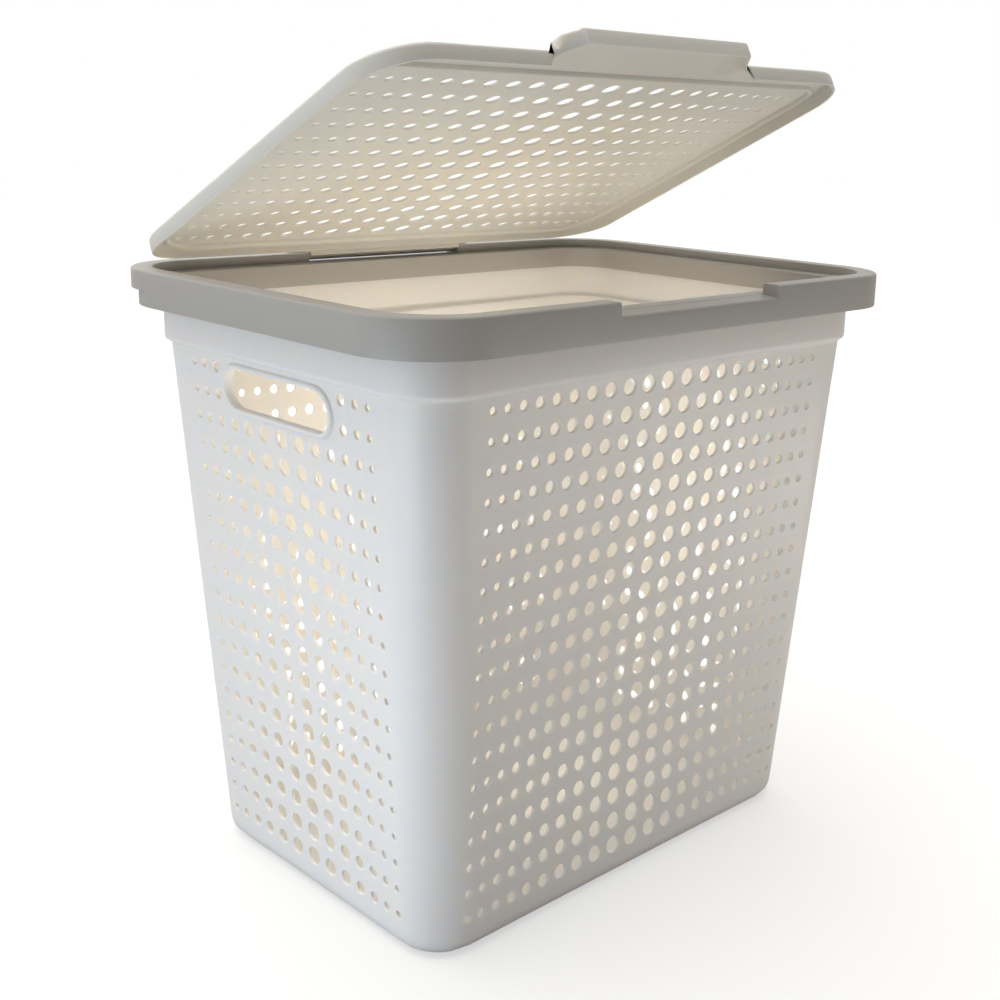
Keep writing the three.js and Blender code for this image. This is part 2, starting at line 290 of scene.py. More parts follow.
basketPlastic = plastic("whiteBasketPlastic", {
    "colour": (0.80, 0.785, 0.77), "blotch": (0.77, 0.755, 0.735), "rubbed": (0.88, 0.875, 0.865),
    "roughness": 0.42, "grainScale": 900, "grain": 0.35, "sink": 1.0, "bump": 0.35,
    "wear": 0.6, "glow": 1.0, "glowDepth": 0.0016, "shine": 0.45,
})
rimPlastic = plastic("warmGreyRimPlastic", {
    "colour": (0.385, 0.365, 0.34), "blotch": (0.36, 0.34, 0.315), "rubbed": (0.50, 0.48, 0.45),
    "roughness": 0.40, "grainScale": 1100, "grain": 0.35, "sink": 0.9, "bump": 0.3,
    "wear": 0.9, "glow": 0.0, "glowDepth": 0.001, "shine": 0.5,
})
# painted shade: the lid is the same white plastic as the basket, but its colour is set darker and
# warmer to stand in for the shade on its underside
lidPlasticDarkenedForShade = plastic("lidWhitePlasticPaintedShade", {
    "colour": (0.70, 0.685, 0.635), "blotch": (0.67, 0.65, 0.60), "rubbed": (0.80, 0.79, 0.755),
    "roughness": 0.36, "grainScale": 1000, "grain": 0.3, "sink": 1.1, "bump": 0.3,
    "wear": 0.6, "glow": 1.0, "glowDepth": 0.0010, "shine": 0.5,
})
pinPlastic = plastic("hingePinPlastic", {
    "colour": (0.72, 0.71, 0.68), "blotch": (0.68, 0.67, 0.64), "rubbed": (0.85, 0.84, 0.82),
    "roughness": 0.35, "grainScale": 1400, "grain": 0.3, "sink": 0.3, "bump": 0.25,
    "wear": 0.8, "glow": 0.05, "glowDepth": 0.002, "shine": 0.5,
})
print("plastics ready")


pitch = 19.0  # from one row of holes to the next
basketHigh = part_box("basket_body")[1]
basket = {
    "halfX": 187.8, "halfY": 131.2,  # at the floor
    "draftX": 0.0695, "draftY": 0.052,
    "cornerRadius": 34.0, "baseRounding": 12.0, "wall": 2.2,
    "shoulderZ": 379.0, "collarRadius": 36.0, "collarTop": basketHigh.z / mm,
    "collarHalfX": basketHigh.x / mm, "collarHalfY": basketHigh.y / mm,
    "bowLong": 7.3, "bowLongTop": 3.0, "bowShort": 5.2,
    "rows": 19, "firstRowZ": 26.6,
    # holes each side of the middle one, their spacing, and how both shrink, in pitches
    "longColumns": 10, "longGap": 1.03, "longShrink": 0.042,
    "longHole": 0.338, "longHoleShrink": 0.0203,
    "shortColumns": 6, "shortGap": 1.035, "shortShrink": 0.072,
    "shortHole": 0.33, "shortHoleShrink": 0.034,
    "bevel": 0.7, "bevelDepth": 0.6, "cornerSteps": 16,
    "slotZ": 357.0, "slotCore": 44.55, "slotColumns": 3, "slotRows": 2,
    "slotRowsFrom": 338.6, "holesTop": 376.2, "shoulderFrom": 377.0, "shoulderInside": 379.0,
}


def bodyOutline(z, inset):
    # half sizes grow straight with height; the bow is a sine over the height
    b = basket
    w = np.clip(z / b["shoulderZ"], 0, 1)
    swell = np.sin(math.pi * w ** 0.85)
    return (
        b["halfX"] + b["draftX"] * z - inset, b["halfY"] + b["draftY"] * z - inset,
        b["cornerRadius"] - inset,
        b["bowLong"] * swell + b["bowLongTop"] * w, b["bowShort"] * swell,
    )


def wallReach(t, half, across, radius, bow):
    # distance of a wall from the middle plane at t along it: straight less a parabola,
    # then round the corner's circle
    flat = half - radius
    over = np.clip(np.abs(t) - flat, 0, radius)
    parabola = bow * np.clip(1 - (t / flat) ** 2, 0, 1)
    return across - parabola - (radius - np.sqrt(radius ** 2 - over ** 2))


def onWall(side, t, z, inset):
    # a point t along wall 0 front, 1 right, 2 back or 3 left, going round anticlockwise
    hx, hy, r, bowL, bowS = bodyOutline(z, inset)
    if side % 2 == 0:
        out = wallReach(t, hx, hy, r, bowL)
        x, y = (t, -out) if side == 0 else (-t, out)
    else:
        out = wallReach(t, hy, hx, r, bowS)
        x, y = (out, t) if side == 1 else (-out, -t)
    return np.stack(np.broadcast_arrays(x, y, z), -1)


def cornerPath(share, outline, longEnd, shortEnd):
    # from the end of a long wall to the end of a short one by length: straight, arc, straight
    hx, hy, r, bowL, bowS = outline
    flatX, flatY = hx - r, hy - r
    startAngle = np.arcsin(np.clip((longEnd - flatX) / r, 0, 1))
    endAngle = math.pi / 2 - np.arcsin(np.clip((shortEnd - flatY) / r, 0, 1))
    first = np.clip(flatX - longEnd, 0, None)
    last = np.clip(flatY - shortEnd, 0, None)
    arc = r * (endAngle - startAngle)
    along = share * (first + arc + last)
    x1, y2 = longEnd + along, shortEnd + (first + arc + last - along)
    angle = startAngle + np.clip((along - first) / r, 0, endAngle - startAngle)
    xArc, yArc = flatX + r * np.sin(angle), flatY + r * np.cos(angle)
    before, after = along < first, along > first + arc
    x = np.where(before, x1, np.where(after, wallReach(y2, hy, hx, r, bowS), xArc))
    y = np.where(before, wallReach(x1, hx, hy, r, bowL), np.where(after, y2, yArc))
    return x, y


def shrinkingColumns(count, gap, shrink):
    # centres either side of the middle: each gap is the one before it less a fixed step
    gaps = (gap - shrink * np.arange(count)) * pitch
    return mirrored(np.concatenate([[0], np.cumsum(gaps)]))


longCentres = shrinkingColumns(basket["longColumns"], basket["longGap"], basket["longShrink"])
shortCentres = shrinkingColumns(
    basket["shortColumns"], basket["shortGap"], basket["shortShrink"])
longEdges, shortEdges = between(longCentres), between(shortCentres)
rowCentres = basket["firstRowZ"] + pitch * np.arange(basket["rows"])
rowEdges = between(rowCentres)
rowEdges[-1] = basket["holesTop"]
rowEdges[-3] = basket["slotRowsFrom"]  # leaves room for the ring round the hand slot
fineZ = quarters(rowEdges)


def ringAt(outline):
    # every station round one level; outline values may be arrays of shape (levels, 1)
    b = basket
    longT, shortT = quarters(longEdges)[None, :-1], quarters(shortEdges)[None, :-1]
    share = np.arange(b["cornerSteps"])[None] / b["cornerSteps"]
    hx, hy, r, bowL, bowS = outline
    cx, cy = cornerPath(share, outline, longEdges[-1], shortEdges[-1])
    rx, ry = cornerPath(1 - share, outline, longEdges[-1], shortEdges[-1])
    longOut = wallReach(longT, hx, hy, r, bowL)
    shortOut = wallReach(shortT, hy, hx, r, bowS)
    xs = [longT + 0 * hx, cx, shortOut, rx, -longT + 0 * hx, -cx, -shortOut, -rx]
    ys = [-longOut, -cy, shortT + 0 * hx, ry, longOut, cy, -shortT + 0 * hx, -ry]
    each = np.ones((np.size(hx), 1))
    return np.concatenate([a * each for a in xs], 1), np.concatenate([a * each for a in ys], 1)


def levelPoints(outline, z):
    # the ring at each level, with the level's height as z
    z = np.atleast_1d(z)[:, None]
    x, y = ringAt(outline)
    return np.stack([x, y, z + 0 * x], -1)


def buildBasket():
    # both skins are the body outline at each level; each cell of their lattice is joined to a
    # round hole through the wall, and the foot, floor and collar are closed with further levels
    b = basket
    shell = Shell()
    longFine, shortFine = perCell * len(longCentres), perCell * len(shortCentres)
    starts = np.cumsum([0] + 2 * [longFine, b["cornerSteps"], shortFine, b["cornerSteps"]])
    stations = starts[-1]
    wallStart = starts[[0, 2, 4, 6]]
    cornerStart = starts[[1, 3, 5, 7]]
    # stations kept where there are no holes: one to a cell on the walls, all on the corners
    coarse = np.concatenate([
        np.arange(starts[k], starts[k + 1], perCell if k % 2 == 0 else 1) for k in range(8)
    ])

    skins = []
    for inset in (0.0, b["wall"]):
        outline = bodyOutline(fineZ[:, None], inset)
        skins.append(shell.add(levelPoints(outline, fineZ)))
    outer, inner = skins

    def used(level, station):
        # corner stations meet the lattice only at the levels between hole rows
        place = station[..., None] - cornerStart
        onCorner = ((place > 0) & (place < b["cornerSteps"])).any(-1)
        return ~onCorner | (level % perCell == 0)

    # holed cells of the four walls
    for side in range(4):
        kind, centres = ("long", longCentres) if side % 2 == 0 else ("short", shortCentres)
        grid = np.meshgrid(np.arange(len(centres)), np.arange(b["rows"]))
        columns, rows = [a.ravel() for a in grid]
        middle = len(centres) // 2
        if kind == "short":  # the hand slot takes the place of the middle holes of the top rows
            beside = np.abs(columns - middle) > b["slotColumns"]
            keep = beside | (rows < b["rows"] - b["slotRows"])
            columns, rows = columns[keep], rows[keep]
        hole, shrink = b[kind + "Hole"], b[kind + "HoleShrink"]
        radius = ((hole - shrink * np.abs(columns - middle)) * pitch)[:, None]
        up, across = cellRim(columns, rows)
        across = (across + wallStart[side]) % stations
        t0, z0 = centres[columns][:, None], rowCentres[rows][:, None]
        rings = [outer[up, across]]
        for extra, inset in ((b["bevel"], 0), (0, b["bevelDepth"]), (0, b["wall"])):
            t = t0 + (radius + extra) * np.cos(ringAngles)
            z = z0 + (radius + extra) * np.sin(ringAngles)
            rings.append(shell.add(onWall(side, t, z, inset)))
        rings.append(inner[up, across])
        for first, second in zip(rings, rings[1:]):
            shell.band(first, second)

    # plain corner cells, one per station and hole row
    cellAcross, cellUp = boxRound(1, perCell)
    for start in cornerStart:
        for station in range(start, start + b["cornerSteps"]):
            for row in range(b["rows"]):
                up, across = cellUp + perCell * row, cellAcross + station
                keep = used(up, across)
                up, across = up[keep], across[keep] % stations
                shell.faces.append(outer[up, across].tolist())
                shell.faces.append(inner[up, across][::-1].tolist())

    # hand slots: rings of a stadium, out over the bead and in through the wall
    beadProfile = [  # radius from the stadium's core, and depth below the outer skin
        (17.6, 0), (17.3, -0.7), (16.9, -1.5), (16.2, -2.1), (15.3, -2.35),
        (14.5, -2.1), (13.9, -1.5), (13.6, -0.6), (13.6, 2.2), (13.6, 4.2),
        (13.9, 4.8), (14.5, 5.1), (15.2, 4.9), (15.6, 4.3), (15.8, 2.2),
    ]
    across, up = boxRound(perCell * (2 * b["slotColumns"] + 1), perCell * b["slotRows"])
    for side in (1, 3):
        station = wallStart[side] + perCell * (len(shortCentres) // 2 - b["slotColumns"]) + across
        level = perCell * (b["rows"] - b["slotRows"]) + up
        t = np.interp(station - wallStart[side], np.arange(shortFine + 1), quarters(shortEdges))
        z = fineZ[level]
        coreT = np.clip(t, -b["slotCore"], b["slotCore"])
        length = np.hypot(t - coreT, z - b["slotZ"])
        awayT, awayZ = (t - coreT) / length, (z - b["slotZ"]) / length
        rings = [outer[level, station]]
        for radius, inset in beadProfile:
            t, z = coreT + radius * awayT, b["slotZ"] + radius * awayZ
            rings.append(shell.add(onWall(side, t, z, inset)))
        rings.append(inner[level, station])
        for first, second in zip(rings, rings[1:]):
            shell.band(first, second)

    def fineToCoarse(fineRing, coarseRing, outward):
        # each coarse step against the fine points above or below it
        ends = np.append(coarse, stations)
        for k in range(len(coarse)):
            fine = fineRing[np.arange(ends[k], ends[k + 1] + 1) % stations]
            face = [coarseRing[k], coarseRing[(k + 1) % len(coarse)], *fine[::-1]]
            shell.faces.append([int(i) for i in (face if outward else face[::-1])])

    def coarseRow(points):
        return shell.add(points[:, coarse])

    # rounded foot of the wall and the floor, outside then inside: quarter circles
    angle = np.linspace(0, math.pi / 2, 7)
    footZ = b["baseRounding"] * (1 - np.cos(angle))
    footInset = b["baseRounding"] * (1 - np.sin(angle))
    foot = coarseRow(levelPoints(bodyOutline(footZ[:, None], footInset[:, None]), footZ))
    shell.faces.append([int(i) for i in foot[0][::-1]])
    for low, high in zip(foot, foot[1:]):
        shell.band(low, high)
    fineToCoarse(outer[0], foot[-1], True)
    innerRound = b["baseRounding"] - b["wall"]
    insideZ = b["baseRounding"] - innerRound * np.cos(angle)
    insideInset = b["wall"] + innerRound * (1 - np.sin(angle))
    inside = coarseRow(levelPoints(bodyOutline(insideZ[:, None], insideInset[:, None]), insideZ))
    shell.faces.append([int(i) for i in inside[0]])
    for low, high in zip(inside, inside[1:]):
        shell.band(high, low)
    fineToCoarse(inner[0], inside[-1], False)

    # shoulder and collar: a share of the way from the body's outline to the collar's,
    # up the outside, over the top edge and down the inside
    def collarLevel(inset, z):
        one = np.ones((1, 1))
        outline = (
            one * (b["collarHalfX"] - inset), one * (b["collarHalfY"] - inset),
            one * (b["collarRadius"] - inset), one * 0, one * 0,
        )
        return levelPoints(outline, z)

    def shoulder(inset, share, z):
        body = levelPoints(bodyOutline(np.full((1, 1), b["shoulderFrom"]), inset), z)
        return (1 - share) * body + share * collarLevel(inset, z)

    top, wall = b["collarTop"], b["wall"]
    outsideZ, insideZ = b["shoulderFrom"], b["shoulderInside"]
    outward = ((0, 0), (0.12, 0.9), (0.5, 1.9), (0.86, 2.9), (0.98, 4.0), (1, 5.4))
    over = ((0, 0.7), (0.25, 0.15), (0.8, 0), (1.4, 0), (1.95, 0.15), (wall, 0.7))
    back = ((1, 5.6), (0.98, 4.2), (0.86, 3.1), (0.5, 2.1), (0.12, 1.1), (0, 0))
    climb = [shoulder(0, share, outsideZ + rise) for share, rise in outward]
    climb += [collarLevel(inset, top - drop) for inset, drop in over]
    climb += [shoulder(wall, share, insideZ + rise) for share, rise in back]
    rows = [coarseRow(points)[0] for points in climb]
    for low, high in zip(rows, rows[1:]):
        shell.band(low, high)
    ends = np.append(coarse, stations)
    for k in range(len(coarse)):
        span = np.arange(ends[k], ends[k + 1] + 1) % stations
        following = (k + 1) % len(coarse)
        outside = [*outer[-1][span], rows[0][following], rows[0][k]]
        inside = [rows[-1][k], rows[-1][following], *inner[-1][span][::-1]]
        shell.faces += [[int(i) for i in outside], [int(i) for i in inside]]

    return makePiece(
        "basket_shell", shell.array(), shell.faces, basketPlastic, "basket")


basketPiece = buildBasket()
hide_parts("basket_body")


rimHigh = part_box("rim_frame")[1]
rim = {
    "halfX": rimHigh.x / mm, "halfY": rimHigh.y / mm, "radius": 57.0, "cornerSteps": 24,
    "bottomZ": 405.5, "topZ": 430.0, "ledgeZ": 423.0, "wall": 2.2,
    "land": 14.5, "ledgeEdge": 25.8, "rearSetback": 10.0, "flangeZ": 416.5,
    "notchHalf": 79.5, "notchZ": (421.2, 422.4, 422.6), "bayHalf": 75.3, "endWall": 2.2,
    "cutSoftness": 0.35, "filletPoints": 5,
}


def rimProfile(outerTop, innerTop, ledgeFront):
    # a closed section of (inset, height, fillet): outside up and over, down inside, back underneath
    r = rim
    w = r["wall"]
    return filleted([
        (0, r["bottomZ"], 0.5), (0, r["flangeZ"] - 0.6, 0.2), (0, r["flangeZ"], 0.2),
        (0, outerTop, 2.0), (r["land"], innerTop, 0.9), (r["land"] + 0.05, ledgeFront, 0.5),
        (r["ledgeEdge"], r["ledgeZ"], 0.8), (r["ledgeEdge"], r["bottomZ"] + 1, 0.6),
        (r["ledgeEdge"] - 2, r["bottomZ"] + 1, 0.6), (r["ledgeEdge"] - 2, r["ledgeZ"] - w, 0.4),
        (r["land"] - w, ledgeFront - w, 0.4), (r["land"] - w, innerTop - w, 0.4),
        (w, outerTop - w, 1.0), (w, r["flangeZ"] + w, 0.2), (w, r["flangeZ"] + w - 0.6, 0.2),
        (w, r["bottomZ"], 0.5),
    ], r["filletPoints"] - 1)


def buildRim():
    # one closed section carried round the frame: straight runs, and quarter circles about the
    # corner centres; a lower section takes its place in the front notch and the rear bay
    r = rim
    full = rimProfile(r["topZ"], r["topZ"], r["ledgeZ"])
    notch = rimProfile(*r["notchZ"])
    bay = rimProfile(r["ledgeZ"], r["ledgeZ"] + 0.02, r["ledgeZ"] - 0.02)
    corner = np.arange(len(full)) // r["filletPoints"]  # which corner of the section a point is on
    seen = corner < 6  # the skin that is seen from above; the rest is underneath
    rows = []
    for side in range(4):
        long = side % 2 == 0
        halfRun = (r["halfX"] if long else r["halfY"]) - r["radius"]
        across = r["halfY"] if long else r["halfX"]
        half = r["notchHalf"] if side == 0 else r["bayHalf"]
        if long:  # extra stations where the land is cut away
            w, soft = r["endWall"], r["cutSoftness"]
            edges = np.array([half + w + 0.6, half + w, half + soft, half, half - soft])
            middle = np.linspace(-half + 6, half - 6, 9)
            t = np.concatenate([[-halfRun], -edges, middle, edges[::-1]])
        else:
            t = np.linspace(-halfRun, halfRun, 5)[:-1]
        cutSeen = (np.abs(t) < half + 0.1) & long
        cutUnder = (np.abs(t) < half + r["endWall"] + 0.1) & long
        cut = np.where(seen[None], cutSeen[:, None], cutUnder[:, None])[..., None]
        section = np.where(cut, (notch if side == 0 else bay)[None], full[None])
        out = across - section[..., 0]
        along = t[:, None] + 0 * out
        x, y = [(along, -out), (out, along), (-along, out), (-out, -along)][side]
        rows.append(np.stack([x, y, section[..., 1]], -1))
        # the corner that follows
        turn = 90 * np.arange(r["cornerSteps"]) / r["cornerSteps"]
        angle = np.radians(-90 + 90 * side + turn)[:, None]
        cx = (r["halfX"] - r["radius"]) * (1 if side in (0, 1) else -1)
        cy = (r["halfY"] - r["radius"]) * (-1 if side in (0, 3) else 1)
        reach = r["radius"] - full[None, :, 0]
        x, y = cx + reach * np.cos(angle), cy + reach * np.sin(angle)
        rows.append(np.stack([x, y, full[None, :, 1] + 0 * angle], -1))
    points = np.concatenate(rows)
    # the skirt below the rear flange stands back
    skirt = (corner < 2) | (corner >= 14)
    points[..., 1] -= r["rearSetback"] * ((points[..., 1] > 0) & skirt[None])
    shell = Shell()
    ids = shell.add(points)
    closed = np.concatenate([ids, ids[:1]])
    for first, second in zip(closed, closed[1:]):
        shell.band(first[::-1], second[::-1])
    return makePiece(
        "rim_frame_shell", shell.array(), shell.faces, rimPlastic, "basket")


rimPiece = buildRim()
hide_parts("rim_frame")


lid = {
    "halfX": rim["halfX"] - rim["land"] - 0.8, "halfY": rim["halfY"] - rim["land"] - 0.8,
    "radius": rim["radius"] - rim["land"] - 0.8,
    "topZ": 435.0, "bottomZ": 423.5, "wall": 2.0, "rearRise": 3.7,
    "rows": 13, "rowGap": 20.8, "firstRow": 34.0,
    "columns": 11, "columnGap": 24.0, "columnShrink": 1.2, "hole": 6.65, "holeShrink": 0.37,
    "bevel": 0.5, "bevelDepth": 0.4,
    "gripHalf": 94.5, "gripTopHalf": 79.0, "gripReach": 16.4,
    "gripBottomZ": 431.0, "gripTopZ": 443.0, "gripClearance": 1.3,
    "beadInset": 10.0, "beadFrontShift": 13.0,
    # the underside bead: distance in from its outer edge, and drop below the panel
    "bead": ((-0.2, 0), (0.2, 1.6), (0.9, 2.7), (2.0, 3.1), (3.1, 2.7), (3.8, 1.6), (4.2, 0)),
}


def lidColumns():
    # centres either side of the middle: each gap is the one before it less a fixed step
    gaps = lid["columnGap"] - lid["columnShrink"] * np.arange(lid["columns"])
    return mirrored(np.concatenate([[0], np.cumsum(gaps)]))


def buildLid():
    # the flat field is a lattice with a round hole in each cell; round it, a section of
    # (distance out, height) follows a rounded box, and blends into the grip's section in front
    d = lid
    shell = Shell()
    centresX = lidColumns()
    centresY = hingeY - d["firstRow"] - d["rowGap"] * np.arange(d["rows"])[::-1]
    fineX, fineY = quarters(between(centresX)), quarters(between(centresY))
    gridX, gridY = np.meshgrid(fineX, fineY)
    under = d["topZ"] - d["wall"]

    def flat(x, y, z):
        return np.stack(np.broadcast_arrays(x, y, z), -1).astype(float)

    topSkin = shell.add(flat(gridX, gridY, d["topZ"]))
    underSkin = shell.add(flat(gridX, gridY, under))
    columns, rows = [a.ravel() for a in np.meshgrid(np.arange(len(centresX)), np.arange(d["rows"]))]
    radius = (d["hole"] - d["holeShrink"] * np.abs(columns - d["columns"]))[:, None]
    up, across = cellRim(columns, rows)
    x0, y0 = centresX[columns][:, None], centresY[rows][:, None]
    rings = [topSkin[up, across]]
    for extra, z in ((d["bevel"], d["topZ"]), (0, d["topZ"] - d["bevelDepth"]),
                     (0, under + d["bevelDepth"]), (d["bevel"], under)):
        x = x0 + (radius + extra) * np.cos(ringAngles)
        y = y0 + (radius + extra) * np.sin(ringAngles)
        rings.append(shell.add(flat(x, y, z)))
    rings.append(underSkin[up, across])
    for first, second in zip(rings, rings[1:]):
        shell.band(first, second)

    # edge of the field, anticlockwise, and the direction each point goes out in
    ix, iy = boxRound(len(fineX) - 1, len(fineY) - 1)
    x, y = fineX[ix], fineY[iy]
    coreX = np.clip(x, -(d["halfX"] - d["radius"]), d["halfX"] - d["radius"])
    coreY = np.clip(y, -(d["halfY"] - d["radius"]), d["halfY"] - d["radius"])
    angle = np.arctan2(y - coreY, x - coreX)
    for quarter in (-math.pi, -math.pi / 2, 0, math.pi / 2):  # even steps round each corner
        inCorner = (angle > quarter + 1e-6) & (angle < quarter + math.pi / 2 - 1e-6)
        order = np.argsort(angle[inCorner])
        even = quarter + math.pi / 2 * (np.arange(len(order)) + 1) / (len(order) + 1)
        spread = np.empty(len(order))
        spread[order] = even
        angle[inCorner] = spread
    dirX, dirY = np.cos(angle), np.sin(angle)

    # section from the field's edge out over the rim of the lid and back in underneath
    bead = d["beadInset"] + d["beadFrontShift"] * np.clip(-dirY, 0, 1) ** 2
    zero = np.zeros(len(x))
    # the skirt gets shallower towards the rear, by the square of how far it faces back
    low, top = d["bottomZ"] + d["rearRise"] * np.clip(dirY, 0, 1) ** 2, d["topZ"]
    plain = [
        (zero - 4.6, zero + top), (zero - 3.2, zero + top), (zero - 1.9, zero + top - 0.25),
        (zero - 0.9, zero + top - 0.9), (zero - 0.25, zero + top - 1.9), (zero, zero + top - 3.2),
        (zero, zero + low + 0.7), (zero - 0.2, zero + low + 0.2), (zero - 0.7, zero + low),
        (zero - 1.3, zero + low), (zero - 1.8, zero + low + 0.2), (zero - 2, zero + low + 0.7),
        (zero - 2, zero + under - 2.2), (zero - 2.7, zero + under - 0.7),
        (zero - 4.2, zero + under),
    ]
    reach, gripTop, gripLow = d["gripReach"], d["gripTopZ"], d["gripBottomZ"]
    gripped = [
        (zero - 21, zero + top), (zero - 18, zero + top + 0.9), (zero - 4, zero + gripTop - 1.6),
        (zero, zero + gripTop - 0.5), (zero + 3, zero + gripTop),
        (zero + reach - 3, zero + gripTop - 0.3),
        (zero + reach - 0.9, zero + gripTop - 1.3), (zero + reach, zero + gripTop - 3.2),
        (zero + reach, zero + gripLow + 0.6),
        (zero + reach - 0.6, zero + gripLow), (zero + reach - 1.5, zero + gripLow),
        (zero + reach - 2, zero + gripLow + 0.6), (zero + reach - 2.2, zero + gripTop - 3.4),
        (zero + reach - 4, zero + gripTop - 2.2), (zero + 1, zero + gripTop - 2.2),
    ]
    # the grip runs out over its slanted ends; its underside rises before it reaches over the rim
    onFront = dirY < -0.999
    gripEnd = d["gripHalf"] - d["gripClearance"]
    share = np.clip((gripEnd - np.abs(x)) / (gripEnd - d["gripTopHalf"]), 0, 1) * onFront
    lift = np.where(share > 0, 1, 0.86 * onFront * (np.abs(x) < d["gripHalf"]))
    skin = [topSkin[iy, ix]]

    def station(away, z):
        reachOut = d["radius"] + away
        return np.stack([coreX + reachOut * dirX, coreY + reachOut * dirY, z], -1)

    for row, ((awayA, zA), (awayB, zB)) in enumerate(zip(plain, gripped)):
        rise = lift if 6 <= row <= 11 else share  # rows 6 to 11 go round the lower edge
        skin.append(shell.add(station(awayA + share * (awayB - awayA), zA + rise * (zB - zA))))
    # underside: down the ramp to the panel, then the bead
    rampAway = -4.6 + share * (-17.5 + 4.6)
    skin.append(shell.add(station(rampAway, zero + under + share * 0.4)))
    for offset, drop in d["bead"]:
        skin.append(shell.add(station(-(bead + offset), zero + under - drop)))
    skin.append(underSkin[iy, ix])
    for first, second in zip(skin, skin[1:]):
        shell.band(second, first)
    points = turned(shell.array(), restOpenDeg)
    return makePiece("lid_shell", points, shell.faces, lidPlasticDarkenedForShade, "lid")


lidPiece = buildLid()
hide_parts("lid")


hingeLook = {
    "barrelRadius": 4.2, "boreRadius": 2.2, "barrelHalf": 75.0,
    "pinRadius": 1.9, "pinHalf": 86.0,
    "lugRadius": 4.8, "lugOuter": 89.0, "lugBoreEnd": 86.6, "lugVent": 0.6, "sides": 28,
}


def revolved(profile, closedProfile):
    # (x, radius) pairs turned about the hinge line
    shell = Shell()
    profile = np.array(profile, float)
    a = np.linspace(0, 2 * math.pi, hingeLook["sides"], endpoint=False)[:, None]
    x, radius = profile[None, :, 0] + 0 * a, profile[None, :, 1]
    ids = shell.add(np.stack([x, hingeY + radius * np.cos(a), hingeZ + radius * np.sin(a)], -1))
    for k in range(len(profile) - (0 if closedProfile else 1)):
        shell.band(ids[:, k], ids[:, (k + 1) % len(profile)])
    if not closedProfile:
        shell.faces.append([int(i) for i in ids[:, 0][::-1]])
        shell.faces.append([int(i) for i in ids[:, -1]])
    return shell


def buildHinge():
    h = hingeLook
    half, bore, out = h["barrelHalf"], h["boreRadius"], h["barrelRadius"]
    barrel = revolved([
        (-half + 0.5, out), (half - 0.5, out), (half, out - 0.5), (half, bore + 0.3),
        (half - 0.3, bore), (-half + 0.3, bore), (-half, bore + 0.3), (-half, out - 0.5),
    ], True)
    points = turned(barrel.array(), restOpenDeg)
    makePiece("lid_barrel", points, barrel.faces, lidPlasticDarkenedForShade, "lid")
    # tongue: a thin plate from the lid's rear skirt to the barrel, with a leaf that hangs
    # below the skirt; the section is (y, z) from the hinge line, carried straight along x
    front = lid["halfY"] - 1.1 - hingeY
    section = np.array([
        (front, 1.6), (front + 2.6, 1.2), (-4.5, 1.1), (-2.6, 1.1),
        (-2.6, -1.1), (-4.5, -1.1), (front + 3, -1.0), (front + 2, -1.8),
        (front + 2, -3.9), (front + 1.6, -4.3), (front + 0.4, -4.3), (front, -3.9),
    ]) + (hingeY, hingeZ)
    x = np.linspace(-half + 0.3, half - 0.3, 25)[:, None]
    sections = np.stack([x + 0 * section[:, 0], section[:, 0] + 0 * x, section[:, 1] + 0 * x], -1)
    tongue = Shell()
    loops = tongue.add(sections)
    for first, second in zip(loops, loops[1:]):
        tongue.band(second, first)
    tongue.faces.append([int(i) for i in loops[0]])
    tongue.faces.append([int(i) for i in loops[-1][::-1]])
    points = turned(tongue.array(), restOpenDeg)
    makePiece("lid_tongue", points, tongue.faces, lidPlasticDarkenedForShade, "lid")
    end, r = h["pinHalf"], h["pinRadius"]
    pin = revolved([(-end, r - 0.5), (-end + 0.5, r), (end - 0.5, r), (end, r - 0.5)], False)
    pinPiece = makePiece("hinge_rod", pin.array(), pin.faces, pinPlastic, "basket")
    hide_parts("hinge_pin")
    near, far, lug = rim["bayHalf"], h["lugOuter"], h["lugRadius"]
    bossProfile = [
        (near, bore), (near, lug - 0.6), (near + 0.6, lug), (far - 1.2, lug), (far, lug - 1.2),
        (far, h["lugVent"]), (h["lugBoreEnd"], h["lugVent"]), (h["lugBoreEnd"], bore),
    ]
    for side, label in ((-1, "left"), (1, "right")):
        points = [(side * a, b) for a, b in bossProfile]
        boss = revolved(points if side > 0 else points[::-1], True)
        makePiece(f"hinge_boss_{label}", boss.array(), boss.faces, rimPlastic, "basket")


buildHinge()


studio = {
    "floorSize": 14.0, "floorColour": (0.46, 0.45, 0.435), "floorGlow": 0.54,
    "cameraAt": (-0.6916, -0.7391, 0.5381),
    "forward": (0.6933, 0.6859, -0.2210), "right": (0.7076, -0.7060, 0.0286),
    "lens": 49.6, "shift": (-0.07, -0.07),
    "roomFront": 0.03, "roomBack": 1.05,
    "sun": 2.0, "sunSpreadDeg": 70, "sunColour": (1.0, 0.98, 0.94), "sunTiltDeg": (-12, -3),
    # name: place, target, size, watts, colour
    "lamps": {
        # a small hidden lamp in the basket lights its rear wall, so that it shows through the holes
        "insideFill": ((0, -0.10, 0.27), (0, 0.15, 0.27), (0.3, 0.25), 0.6, (1.0, 0.90, 0.72)),
        "keyLeft": ((-0.85, -0.15, 0.12), (0, 0, 0.16), (0.6, 0.2), 2.2, (0.68, 0.83, 1.0)),
        "bounceRight": ((0.58, -0.66, 0.08), (0.1, 0, 0.08), (0.5, 0.14), 1.4, (1.0, 0.97, 0.92)),
    },
}


